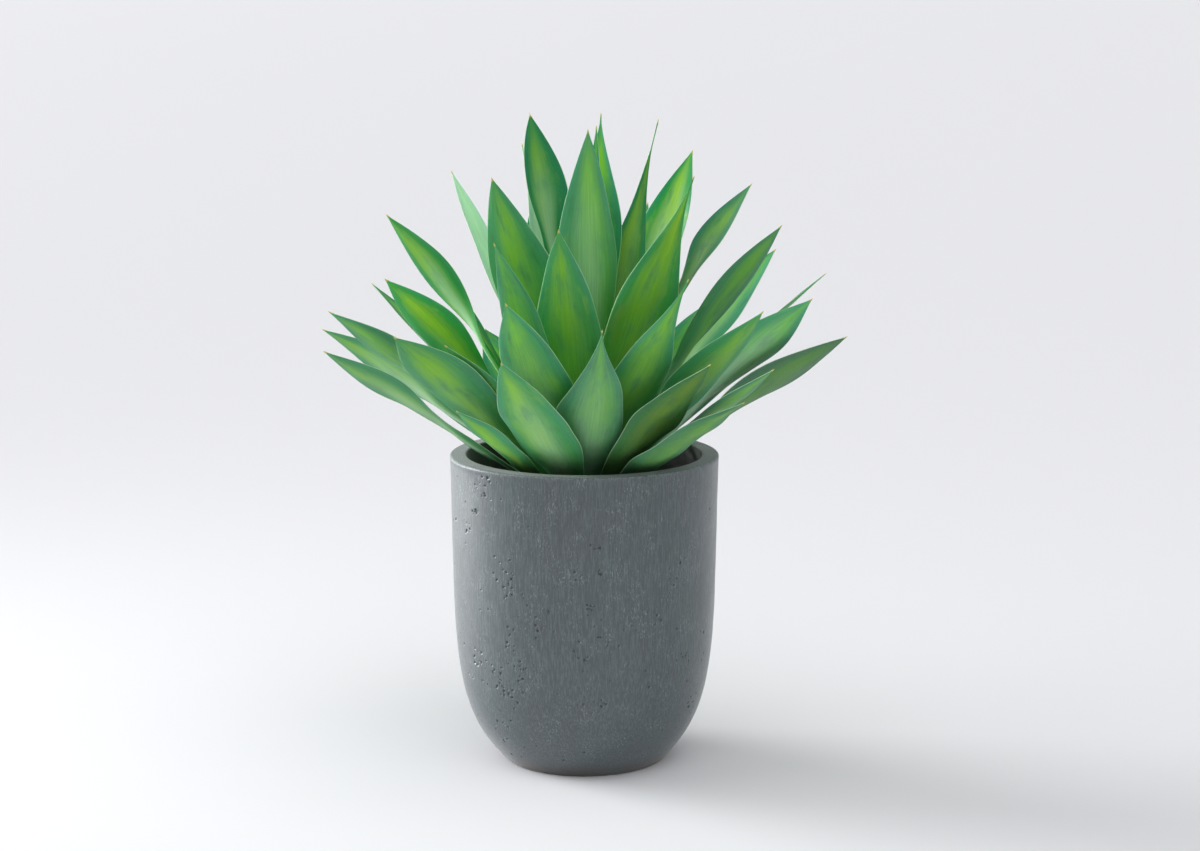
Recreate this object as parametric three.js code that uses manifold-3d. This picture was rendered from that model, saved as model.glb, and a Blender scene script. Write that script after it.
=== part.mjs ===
// A young foxtail agave in a round-bottomed planter.
//
// Units are millimetres and +Z is up. The origin is the middle of the flat foot, on the surface
// that the planter stands on. Turns are measured about +Z from +X, so a turn of 270 degrees
// faces the viewer, who stands at -Y.
//
// The plant is a rosette. Every leaf grows from the crown of a short stem and fans out at its own
// rise. A blade starts as a narrow neck that wraps round the stem's axis as a strip of a cone
// would, so that the leaves nest without touching, and widens to a shallow trough further out.

import * as THREE from 'three';
import { mergeVertices } from 'three/addons/utils/BufferGeometryUtils.js';
import Module from 'manifold-3d';

const wasm = await Module();
wasm.setup();

// ---- driving dimensions -------------------------------------------------------------------

const SEAT_GAP = 0.4; // clearance between pieces that rest against each other

const POT_HEIGHT = 405;
const POT_RIM_RADIUS = 175;
const POT_WALL = 22;
const POT_FLOOR = 26;
const POT_SHOULDER_HEIGHT = 222; // the straight side ends here and the belly begins
const POT_SHOULDER_RADIUS = 171.5;
const POT_FOOT_RADIUS = 106;
const POT_RIM_BEVEL = 2.5;
const POT_SIDES = 48;
const BELLY_STEPS = 9;
const BELLY_INNER_STEPS = 6;

// The belly is one curve with two guide points between the shoulder and the foot's edge: each
// stands this far out from the foot or in from the shoulder, at this share of the belly's height.
const BELLY_LOW_OUT = 42;
const BELLY_LOW_SHARE = 0.2;
const BELLY_HIGH_IN = 3.5;
const BELLY_HIGH_SHARE = 0.37;
// Where the wall turns under, its inside follows the outside at less than the full inset.
const FOOT_INSET_SHARE = 0.6;
const LOW_INSET_SHARE = 0.8;

const DRAIN_HOLES = 3;
const DRAIN_RADIUS = 7;
const DRAIN_RING_RADIUS = 55;
const DRAIN_SIDES = 16;

const SOIL_EDGE_HEIGHT = 290;
const SOIL_MIDDLE_HEIGHT = 296;
const SOIL_MIDDLE_RADIUS = 97;
const SOIL_CROWN_HEIGHT = 300; // against the stem

const STEM_FOOT_HEIGHT = 256;
const STEM_SIDES = 24;
const STEM_DOME_STEPS = 7;
// The youngest leaves stand rolled together on top of the stem: radius and height of that bud.
const BUD = [[14, 394], [11, 430], [5, 470], [0, 486]];

// A leaf that rises at angle e starts from this point of a dome inside the crown:
// radius CROWN_INNER + CROWN_SPREAD cos e, height CROWN_HEIGHT + CROWN_RISE sin e.
const CROWN_INNER = 18;
const CROWN_SPREAD = 26;
const CROWN_HEIGHT = 294;
const CROWN_RISE = 95;
const CROWN_SKIN = 4; // how far the crown's surface stands outside that dome

const FOOT_THICKNESS = 3.6;
const MIDDLE_THICKNESS = 2.4;
const TIP_THICKNESS = 1.3;
const EDGE_THICKNESS = 1.0;
const MIDDLE_AT = 0.4; // shares of the blade's length, from its foot
const NECK_SHARE = 0.26; // width at the foot as a share of the full width
const CHANNEL = 0.12; // how far the edges stand up, as a share of the half width
const TIP_WIDTH = 1.8;
const WRAP_LIMIT = 1.2; // radians that half a blade may wrap round the axis
const LOW_ROLL_BY = 0.3; // shares of the length at which the low roll is reached,
const HIGH_ROLL_FROM = 0.35; // and over which the high roll takes its place
const HIGH_ROLL_OVER = 0.5;
const EDGE_WAVE = 2.5;
const WAVES_PER_BLADE = 1.3;
const WAVE_LEAD = 0.37; // how far one edge's wave leads the other's, as a share of a wave
const WAVE_STEP = 0.618; // how far the wave moves on from one leaf to the next
const STATIONS = [0, 0.16, 0.34, 0.48, 0.59, 0.69, 0.78, 0.87, 0.95, 1];
const STRIPS_ACROSS = 4;

// Each leaf: the turn and rise of its chord in degrees, its length and full width in mm, how far
// the blade bows up from its chord at one and at two thirds of the length in mm, its roll about
// its own line low down and near the tip in degrees, how far its foot is turned aside in degrees,
// how drawn out its point is (1 is plain, more is longer and finer), the share of its length at
// which it is widest, and how long it stays a narrow neck (1 widens at once, 3 only late).
const LEAVES = [
  // the left side, from the lowest leaf up
  [212, 33.5, 397, 60, 0, 4, 10, 22, 0, 1, 0.74, 3],
  [180, 36, 368, 72, 2, 16, 20, 40, 0, 1, 0.7, 2.4],
  [205, 39.5, 398, 68, 6, 16, 8, 24, 0, 1, 0.7, 2.4],
  [231, 37.5, 398, 86, 4, 8, 10, 24, -3, 1, 0.7, 1.6],
  [157, 43, 370, 72, 4, 6, 4, 10, 0, 1, 0.7, 2.2],
  [222, 46, 408, 66, 8, 18, 10, 28, 0, 1, 0.74, 2.2],
  [206, 56, 424, 56, 6, 24, -30, 34, 0, 1, 0.74, 2.2],
  [145, 64, 424, 46, 4, 8, 0, 0, -10, 1, 0.72, 2.4],
  [236, 33, 278, 46, 0, 2, 4, 8, 0, 1, 0.66, 1.4],
  [236, 41, 340, 56, 0, 6, 4, 8, 0, 1, 0.66, 1.4],
  [137, 28, 350, 70, 20, 16, 0, 0, 0, 1, 0.68, 2],
  // the front, from the lowest leaf up
  [302, 29.5, 364, 64, 12, 10, -4, -4, 6, 1, 0.42, 0.7],
  [308, 33, 388, 54, 0, 2, 2, -4, 0, 1, 0.6, 1],
  [295, 35, 382, 68, 9, 8, 0, -6, 0, 1, 0.5, 0.8],
  [254, 36, 376, 77, -6, -6, 2, 6, 4, 0.9, 0.55, 0.7],
  [274, 41, 385, 84, -6, -8, 0, 0, -4, 1.45, 0.5, 0.7],
  [254, 44, 400, 86, 0, 0, 2, 6, 0, 0.95, 0.55, 0.7],
  [292, 46, 422, 72, 2, 4, -4, -36, -8, 1.7, 0.5, 0.8],
  [249, 52.5, 422, 50, 4, 4, 6, 16, -1, 1.1, 0.62, 1.5],
  [264, 55.5, 422, 82, 2, 2, 0, 0, 2, 0.95, 0.55, 0.7],
  [242, 63, 446, 92, 4, 6, 4, 12, 0, 0.9, 0.56, 0.7],
  [304, 62.5, 450, 84, 8, 10, -4, -44, -8, 1.7, 0.5, 0.7],
  [273, 79.5, 448, 78, 2, 0, 0, 0, 4, 0.95, 0.58, 0.7],
  // the right side, from the lowest leaf up
  [333, 35.5, 396, 78, 8, 10, -8, -26, 0, 1, 0.7, 2],
  [20, 41.5, 405, 56, 4, 12, -10, -20, 0, 1, 0.7, 2.2],
  [327, 42.5, 399, 82, 0, 6, -8, -30, 2, 1, 0.7, 2],
  [308, 41, 408, 70, 2, 4, -4, -10, -6, 1, 0.66, 1.5],
  [34, 46.5, 398, 74, 12, 18, 4, 10, 0, 1, 0.7, 2.2],
  [329, 54, 424, 60, 8, 14, 10, -24, 0, 1, 0.7, 2],
  [36, 56.5, 441, 58, 24, 38, 0, 0, 0, 1, 0.78, 5],
  [53, 40, 350, 78, 4, 6, 0, 0, 0, 1, 0.7, 2],
  // the back, from the lowest leaf up
  [55, 28, 368, 74, 24, 20, 0, 0, 0, 1, 0.68, 2],
  [96, 27, 378, 80, 24, 20, 0, 0, 0, 1, 0.68, 2],
  [76, 31, 390, 82, 12, 12, 0, 0, 0, 1, 0.68, 2],
  [116, 33, 335, 76, 6, 8, 0, 0, 0, 1, 0.68, 2],
  [42, 32.5, 370, 74, 6, 8, 0, 0, 0, 1, 0.68, 2],
  [104, 36, 400, 84, 6, 8, 0, 0, -3, 1, 0.68, 2],
  [122, 38.5, 285, 76, 4, 6, 0, 0, 0, 1, 0.68, 2],
  [84, 40, 405, 84, 6, 6, 0, 0, 0, 1, 0.68, 2],
  [64, 49, 375, 80, 4, 6, 0, 0, -3, 1, 0.68, 2],
  [96, 48, 420, 84, 4, 6, 0, 0, 0, 1, 0.68, 2],
  [105, 55, 422, 66, 4, 6, 0, 0, 0, 1, 0.68, 2],
  [70, 57, 400, 84, 4, 6, 0, 0, 0, 1, 0.68, 2],
  [90, 66.5, 435, 76, 2, 2, 0, 0, -6, 1, 0.68, 2],
  [53, 62.5, 457, 80, 10, 14, 0, 0, 0, 1, 0.68, 1.5],
  [117, 69, 440, 28, 4, 4, 0, 0, 0, 1.8, 0.6, 2],
  [56, 71.5, 467, 56, 12, 20, 20, 60, 0, 2.2, 0.52, 1.2],
  [134, 80, 458, 71, 2, 4, 0, 0, -40, 0.9, 0.78, 6],
  [76, 81.5, 455, 66, 2, 2, 0, 0, -40, 1.4, 0.66, 1.5],
  [68, 87, 436, 34, 0, 0, 0, 0, 120, 1, 0.6, 1.2],
  // leaves that the front ones hide
  [355, 44, 340, 68, 6, 10, 0, 0, 0, 1, 0.68, 2],
  [5, 56, 380, 68, 6, 10, 0, 0, 0, 1, 0.68, 2],
  [170, 49, 340, 68, 6, 10, 0, 0, 0, 1, 0.68, 2],
  [175, 58, 330, 66, 6, 10, 0, 0, 0, 1, 0.68, 2],
  [336, 72, 380, 66, 4, 6, 0, 0, 0, 1, 0.68, 2],
  [206, 74, 380, 66, 4, 6, 0, 0, 0, 1, 0.68, 2],
  [150, 77, 310, 50, 4, 6, 0, 0, 0, 1, 0.68, 2],
];

const COLOURS = {
  pot: { color: 0x5b6468, roughness: 0.9, metalness: 0 },
  soil: { color: 0x4a3a2c, roughness: 1, metalness: 0 },
  stem: { color: 0x8d8a5a, roughness: 0.8, metalness: 0 },
  leaf: { color: 0x4c9a4e, roughness: 0.5, metalness: 0 },
};

// ---- solids -------------------------------------------------------------------------------

function toSolid(geometry) {
  const bare = geometry.clone();
  bare.deleteAttribute('normal');
  bare.deleteAttribute('uv');
  const merged = mergeVertices(bare, 1e-3);
  const corners = [];
  for (let i = 0; i < merged.index.count; i += 3) {
    const [a, b, c] = [merged.index.getX(i), merged.index.getX(i + 1), merged.index.getX(i + 2)];
    if (a !== b && b !== c && c !== a) corners.push(a, b, c);
  }
  return new wasm.Manifold(new wasm.Mesh({
    numProp: 3,
    vertProperties: new Float32Array(merged.attributes.position.array),
    triVerts: new Uint32Array(corners),
  }));
}

function toGeometry(solid) {
  const mesh = solid.getMesh();
  const geometry = new THREE.BufferGeometry();
  geometry.setAttribute('position', new THREE.BufferAttribute(new Float32Array(mesh.vertProperties), 3));
  geometry.setIndex(new THREE.BufferAttribute(new Uint32Array(mesh.triVerts), 1));
  geometry.computeVertexNormals();
  return geometry;
}

// A body of revolution about +Z from a list of [radius, height] points.
function revolve(profile, sides) {
  const points = profile.map(([radius, height]) => new THREE.Vector2(radius, height));
  return new THREE.LatheGeometry(points, sides).rotateX(Math.PI / 2);
}

function piece(name, geometry, material) {
  const mesh = new THREE.Mesh(geometry, new THREE.MeshStandardMaterial(material));
  mesh.name = name;
  return mesh;
}

// ---- planter and soil ---------------------------------------------------------------------

// The belly's profile, from the edge of the foot up to the straight side. An inset gives the
// inside of the wall, or what fills it.
function bellyPoints(inset, bottom, steps) {
  const drop = POT_SHOULDER_HEIGHT - bottom;
  const lowRadius = POT_FOOT_RADIUS + BELLY_LOW_OUT - inset * LOW_INSET_SHARE;
  const highRadius = POT_SHOULDER_RADIUS - BELLY_HIGH_IN - inset;
  const curve = new THREE.CubicBezierCurve(
    new THREE.Vector2(POT_FOOT_RADIUS - inset * FOOT_INSET_SHARE, bottom),
    new THREE.Vector2(lowRadius, bottom + drop * BELLY_LOW_SHARE),
    new THREE.Vector2(highRadius, bottom + drop * BELLY_HIGH_SHARE),
    new THREE.Vector2(POT_SHOULDER_RADIUS - inset, POT_SHOULDER_HEIGHT),
  );
  return curve.getPoints(steps).map((point) => [point.x, point.y]);
}

// Radius of the planter's straight inner wall at a height above the shoulder.
function innerWallRadius(height) {
  const share = (height - POT_SHOULDER_HEIGHT) / (POT_HEIGHT - POT_SHOULDER_HEIGHT);
  return POT_SHOULDER_RADIUS + share * (POT_RIM_RADIUS - POT_SHOULDER_RADIUS) - POT_WALL;
}

function makePot() {
  const rimInner = POT_RIM_RADIUS - POT_WALL;
  const outside = bellyPoints(0, 0, BELLY_STEPS);
  const inside = bellyPoints(POT_WALL, POT_FLOOR, BELLY_INNER_STEPS).reverse();
  const shell = revolve([
    [0, 0],
    ...outside,
    [POT_RIM_RADIUS, POT_HEIGHT - POT_RIM_BEVEL],
    [POT_RIM_RADIUS - POT_RIM_BEVEL, POT_HEIGHT],
    [rimInner + POT_RIM_BEVEL, POT_HEIGHT],
    [rimInner, POT_HEIGHT - POT_RIM_BEVEL],
    ...inside,
    [0, POT_FLOOR],
  ], POT_SIDES);
  let pot = toSolid(shell);
  for (let i = 0; i < DRAIN_HOLES; i += 1) {
    const drill = new THREE.CylinderGeometry(DRAIN_RADIUS, DRAIN_RADIUS, POT_FLOOR * 2, DRAIN_SIDES);
    drill.rotateX(Math.PI / 2);
    drill.translate(DRAIN_RING_RADIUS, 0, POT_FLOOR / 2);
    drill.rotateZ((i / DRAIN_HOLES) * 2 * Math.PI);
    pot = pot.subtract(toSolid(drill));
  }
  return piece('pot', toGeometry(pot), COLOURS.pot);
}

function makeSoil() {
  const hole = stemRadius() + SEAT_GAP;
  const wall = bellyPoints(POT_WALL + SEAT_GAP, POT_FLOOR + SEAT_GAP, BELLY_INNER_STEPS);
  return piece('soil', revolve([
    [0, POT_FLOOR + SEAT_GAP],
    ...wall,
    [innerWallRadius(SOIL_EDGE_HEIGHT) - SEAT_GAP, SOIL_EDGE_HEIGHT],
    [SOIL_MIDDLE_RADIUS, SOIL_MIDDLE_HEIGHT],
    [hole, SOIL_CROWN_HEIGHT],
    [hole, STEM_FOOT_HEIGHT - SEAT_GAP],
    [0, STEM_FOOT_HEIGHT - SEAT_GAP],
  ], POT_SIDES), COLOURS.soil);
}

// ---- stem ---------------------------------------------------------------------------------

function stemRadius() {
  return CROWN_INNER + CROWN_SPREAD + CROWN_SKIN;
}

// The stem's profile, or that of the hollow which it leaves in a leaf's foot when it is grown.
function stemProfile(grow) {
  const dome = [];
  for (let i = 0; i <= STEM_DOME_STEPS; i += 1) {
    const e = (i / STEM_DOME_STEPS) * (Math.PI / 2);
    dome.push([
      CROWN_INNER + (CROWN_SPREAD + CROWN_SKIN) * Math.cos(e) + grow,
      CROWN_HEIGHT + (CROWN_RISE + CROWN_SKIN) * Math.sin(e) + grow,
    ]);
  }
  return [
    [0, STEM_FOOT_HEIGHT - grow],
    [stemRadius() + grow, STEM_FOOT_HEIGHT - grow],
    ...dome,
    ...BUD.map(([radius, height]) => [radius && radius + grow, height + grow]),
  ];
}

function makeStem() {
  return piece('stem', revolve(stemProfile(0), STEM_SIDES), COLOURS.stem);
}

// ---- leaves -------------------------------------------------------------------------------

const radians = THREE.MathUtils.degToRad;

function smoothstep(x) {
  const u = Math.min(1, Math.max(0, x));
  return u * u * (3 - 2 * u);
}

// Half width of a blade at share s of its length.
function halfWidth(leaf, s) {
  if (s < leaf.widest) {
    const swell = (1 - Math.cos(Math.PI * (s / leaf.widest) ** leaf.neck)) / 2;
    return (leaf.width / 2) * (NECK_SHARE + (1 - NECK_SHARE) * swell);
  }
  const taper = Math.sin((Math.PI / 2) * (((1 - s) / (1 - leaf.widest)) ** leaf.point));
  return Math.max(TIP_WIDTH / 2, (leaf.width / 2) * taper);
}

// A blade leaves the crown level and takes its roll on the way out.
function rollAt(leaf, s) {
  const high = smoothstep((s - HIGH_ROLL_FROM) / HIGH_ROLL_OVER);
  return smoothstep(s / LOW_ROLL_BY) * THREE.MathUtils.lerp(leaf.lowRoll, leaf.highRoll, high);
}

function midThickness(s) {
  if (s < MIDDLE_AT) {
    return THREE.MathUtils.lerp(FOOT_THICKNESS, MIDDLE_THICKNESS, s / MIDDLE_AT);
  }
  return THREE.MathUtils.lerp(MIDDLE_THICKNESS, TIP_THICKNESS, (s - MIDDLE_AT) / (1 - MIDDLE_AT));
}

// The blade's middle line in its own upright plane: x is the distance from the axis, y is height.
function middleLine(leaf) {
  const rise = radians(leaf.rise);
  const foot = new THREE.Vector2(
    CROWN_INNER + CROWN_SPREAD * Math.cos(rise),
    CROWN_HEIGHT + CROWN_RISE * Math.sin(rise),
  );
  const along = new THREE.Vector2(Math.cos(rise), Math.sin(rise));
  const up = new THREE.Vector2(-Math.sin(rise), Math.cos(rise));
  const at = (share, bow) => foot.clone()
    .addScaledVector(along, share * leaf.length)
    .addScaledVector(up, bow);
  return new THREE.CubicBezierCurve(foot, at(1 / 3, leaf.lowBow), at(2 / 3, leaf.highBow), at(1, 0));
}

// A point of the blade's middle surface, at share s of its length and t from -1 to 1 across it.
function bladePoint(leaf, s, t) {
  const middle = leaf.line.getPoint(s);
  const slope = leaf.line.getTangent(s);
  const half = halfWidth(leaf, s);
  const wrap = Math.min(half / middle.x, WRAP_LIMIT);
  const side = new THREE.Vector3(
    middle.x * (Math.cos(wrap * t) - 1),
    (half / wrap) * Math.sin(wrap * t),
    0,
  );
  const tangent = new THREE.Vector3(slope.x, 0, slope.y).normalize();
  side.addScaledVector(new THREE.Vector3(-tangent.z, 0, tangent.x), CHANNEL * half * t * t);
  side.applyAxisAngle(tangent, radians(rollAt(leaf, s)));
  const turn = radians(leaf.turn + leaf.footTurn * (1 - s) ** 2);
  const point = new THREE.Vector3(middle.x, 0, middle.y).add(side);
  const lead = t > 0 ? 0 : WAVE_LEAD;
  const wave = Math.sin(2 * Math.PI * (WAVES_PER_BLADE * s + leaf.phase + lead));
  point.z += EDGE_WAVE * wave * t * t * Math.sin(Math.PI * s);
  return point.applyAxisAngle(new THREE.Vector3(0, 0, 1), turn);
}

function bladeNormal(leaf, s, t) {
  const step = 1e-3;
  const [s0, s1] = [Math.max(0, s - step), Math.min(1, s + step)];
  const [t0, t1] = [Math.max(-1, t - step), Math.min(1, t + step)];
  const alongBlade = bladePoint(leaf, s1, t).sub(bladePoint(leaf, s0, t));
  const acrossBlade = bladePoint(leaf, s, t1).sub(bladePoint(leaf, s, t0));
  return alongBlade.cross(acrossBlade).normalize();
}

// Both faces are split into triangles alike, and a narrow strip closes the edge all round.
function bladeGeometry(leaf) {
  const rows = STATIONS.length;
  const columns = STRIPS_ACROSS + 1;
  const positions = [];
  for (const face of [1, -1]) {
    for (const s of STATIONS) {
      for (let j = 0; j < columns; j += 1) {
        const t = (2 * j) / STRIPS_ACROSS - 1;
        const thickness = EDGE_THICKNESS + (midThickness(s) - EDGE_THICKNESS) * (1 - t * t);
        const point = bladePoint(leaf, s, t);
        point.addScaledVector(bladeNormal(leaf, s, t), (face * thickness) / 2);
        positions.push(point.x, point.y, point.z);
      }
    }
  }
  const top = (i, j) => i * columns + j;
  const under = (i, j) => rows * columns + i * columns + j;
  const corners = [];
  const quad = (a, b, c, d) => corners.push(a, b, c, a, c, d);
  for (let i = 0; i < rows - 1; i += 1) {
    for (let j = 0; j < columns - 1; j += 1) {
      quad(top(i, j), top(i + 1, j), top(i + 1, j + 1), top(i, j + 1));
      corners.push(under(i, j), under(i + 1, j + 1), under(i + 1, j));
      corners.push(under(i, j), under(i, j + 1), under(i + 1, j + 1));
    }
    quad(top(i, 0), under(i, 0), under(i + 1, 0), top(i + 1, 0));
    quad(top(i + 1, columns - 1), under(i + 1, columns - 1), under(i, columns - 1), top(i, columns - 1));
  }
  for (let j = 0; j < columns - 1; j += 1) {
    quad(top(0, j + 1), under(0, j + 1), under(0, j), top(0, j));
    quad(top(rows - 1, j), under(rows - 1, j), under(rows - 1, j + 1), top(rows - 1, j + 1));
  }
  const geometry = new THREE.BufferGeometry();
  geometry.setAttribute('position', new THREE.Float32BufferAttribute(positions, 3));
  geometry.setIndex(corners);
  return geometry;
}

function makeLeaf(row, index, crown) {
  const [turn, rise, length, width, lowBow, highBow, lowRoll, highRoll, footTurn] = row;
  const [point, widest, neck] = row.slice(9);
  const leaf = { turn, rise, length, width, lowBow, highBow, lowRoll, highRoll, footTurn };
  Object.assign(leaf, { point, widest, neck });
  leaf.line = middleLine(leaf);
  leaf.phase = (index * WAVE_STEP) % 1;
  const blade = toSolid(bladeGeometry(leaf)).subtract(crown);
  const name = `leaf_${String(index + 1).padStart(2, '0')}`;
  return piece(name, toGeometry(blade), COLOURS.leaf);
}

// ---- the whole plant ----------------------------------------------------------------------

const crown = toSolid(revolve(stemProfile(SEAT_GAP), STEM_SIDES));

const group = new THREE.Group();
group.add(makePot(), makeSoil(), makeStem());
LEAVES.forEach((row, index) => group.add(makeLeaf(row, index, crown)));

export default group;
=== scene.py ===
"""A young foxtail agave in a round-bottomed fibre clay planter.

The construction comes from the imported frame. This file gives it its looks: smooth waxy leaves with a
rolled margin and a short spine, the scarred stem and its bud, loose potting soil, and the brushed and
pitted planter. Lengths are metres, and turns are degrees about +Z from +X, so that 270 is the front.
"""

import math
import random

import bmesh
import bpy
import numpy as np
from bpy.props import FloatProperty, FloatVectorProperty, IntProperty, PointerProperty
from mathutils import Matrix, Vector, kdtree, noise


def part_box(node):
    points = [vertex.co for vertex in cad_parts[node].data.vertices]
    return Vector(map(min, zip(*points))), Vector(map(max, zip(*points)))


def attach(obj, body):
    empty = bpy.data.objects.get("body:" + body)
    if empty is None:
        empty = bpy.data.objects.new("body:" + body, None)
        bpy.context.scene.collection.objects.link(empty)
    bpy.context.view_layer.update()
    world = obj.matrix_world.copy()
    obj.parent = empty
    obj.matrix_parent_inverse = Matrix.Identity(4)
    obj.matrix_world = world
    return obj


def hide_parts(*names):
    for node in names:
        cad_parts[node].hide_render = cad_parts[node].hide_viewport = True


bl_info = {
    "name": "Potted agave",
    "version": (1, 0, 0),
    "blender": (4, 5, 0),
    "location": "3D View > Sidebar > Agave",
    "description": "Leaves, stem, potting soil and fibre clay planter of a potted agave",
    "category": "Object",
}

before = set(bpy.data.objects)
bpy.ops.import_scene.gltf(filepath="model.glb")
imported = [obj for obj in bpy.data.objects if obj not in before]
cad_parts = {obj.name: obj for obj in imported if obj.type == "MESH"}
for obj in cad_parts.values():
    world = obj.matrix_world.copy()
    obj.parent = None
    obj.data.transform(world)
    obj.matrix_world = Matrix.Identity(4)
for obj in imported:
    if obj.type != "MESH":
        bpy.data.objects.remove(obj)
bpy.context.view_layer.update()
POT_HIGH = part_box("pot")[1]
SOIL_LOW, SOIL_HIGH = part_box("soil")
STEM_LOW, STEM_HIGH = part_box("stem")
LEAVES = sorted(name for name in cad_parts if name.startswith("leaf_"))

MM = 0.001
FULL_TURN = 2 * math.pi

# ---- the planter's profile ----

WALL = 22 * MM
FLOOR_THICKNESS = 26 * MM
SHOULDER_HEIGHT = 222 * MM
SHOULDER_RADIUS = 171.5 * MM
FOOT_RADIUS = 106 * MM
BELLY_LOW_OUT = 42 * MM
BELLY_LOW_SHARE = 0.2
BELLY_HIGH_IN = 3.5 * MM
BELLY_HIGH_SHARE = 0.37
FOOT_INSET_SHARE = 0.6
LOW_INSET_SHARE = 0.8
DRAIN_HOLES = 3
DRAIN_RADIUS = 7 * MM
DRAIN_RING_RADIUS = 55 * MM
DRAIN_SIDES = 32

# Patches of pits: turn in degrees, height and spread in millimetres, number of pits.
PIT_PATCHES = (
    (223, 386, 11, 20),
    (217, 347, 5, 9),
    (211, 322, 7, 8),
    (194, 324, 5, 6),
    (238, 268, 13, 26),
    (249, 228, 16, 16),
    (254, 214, 7, 9),
    (232, 135, 13, 46),
    (241, 152, 8, 16),
    (218, 152, 9, 16),
    (236, 190, 12, 14),
    (228, 94, 9, 10),
    (224, 54, 9, 8),
    (198, 174, 9, 6),
    (276, 285, 3, 8),
    (268, 277, 4, 7),
    (275, 318, 5, 7),
    (272, 236, 5, 8),
    (280, 197, 6, 12),
    (276, 112, 5, 10),
    (270, 116, 6, 10),
    (268, 179, 9, 16),
    (292, 205, 7, 10),
    (302, 226, 8, 9),
    (330, 89, 8, 10),
    (322, 166, 13, 18),
    (312, 268, 9, 12),
    (300, 150, 9, 10),
    (262, 30, 12, 9),
    (30, 300, 14, 26),
    (64, 150, 16, 30),
    (95, 250, 12, 22),
    (120, 90, 14, 22),
    (150, 330, 12, 18),
    (168, 210, 14, 20),
)

# ---- the leaves ----

# A leaf that rises at angle e starts at radius CROWN_INNER + CROWN_SPREAD cos e and height
# CROWN_HEIGHT + CROWN_RISE sin e, a little inside the crown's skin.
CROWN_INNER = 18 * MM
CROWN_SPREAD = 26 * MM
CROWN_HEIGHT = 294 * MM
CROWN_RISE = 95 * MM

FOOT_THICKNESS = 3.6 * MM
MIDDLE_THICKNESS = 2.4 * MM
TIP_THICKNESS = 1.3 * MM
EDGE_THICKNESS = 1.0 * MM
MIDDLE_AT = 0.4
NECK_SHARE = 0.26
CHANNEL = 0.12
TIP_WIDTH = 1.8 * MM
WRAP_LIMIT = 1.2
LOW_ROLL_BY = 0.3
HIGH_ROLL_FROM = 0.35
HIGH_ROLL_OVER = 0.5
EDGE_WAVE = 2.5 * MM
WAVES_PER_BLADE = 1.3
WAVE_LEAD = 0.37
WAVE_STEP = 0.618

LEAF_FIELDS = (
    "turn",
    "rise",
    "length",
    "width",
    "low_bow",
    "high_bow",
    "low_roll",
    "high_roll",
    "foot_turn",
    "point",
    "widest",
    "neck",
)
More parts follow.
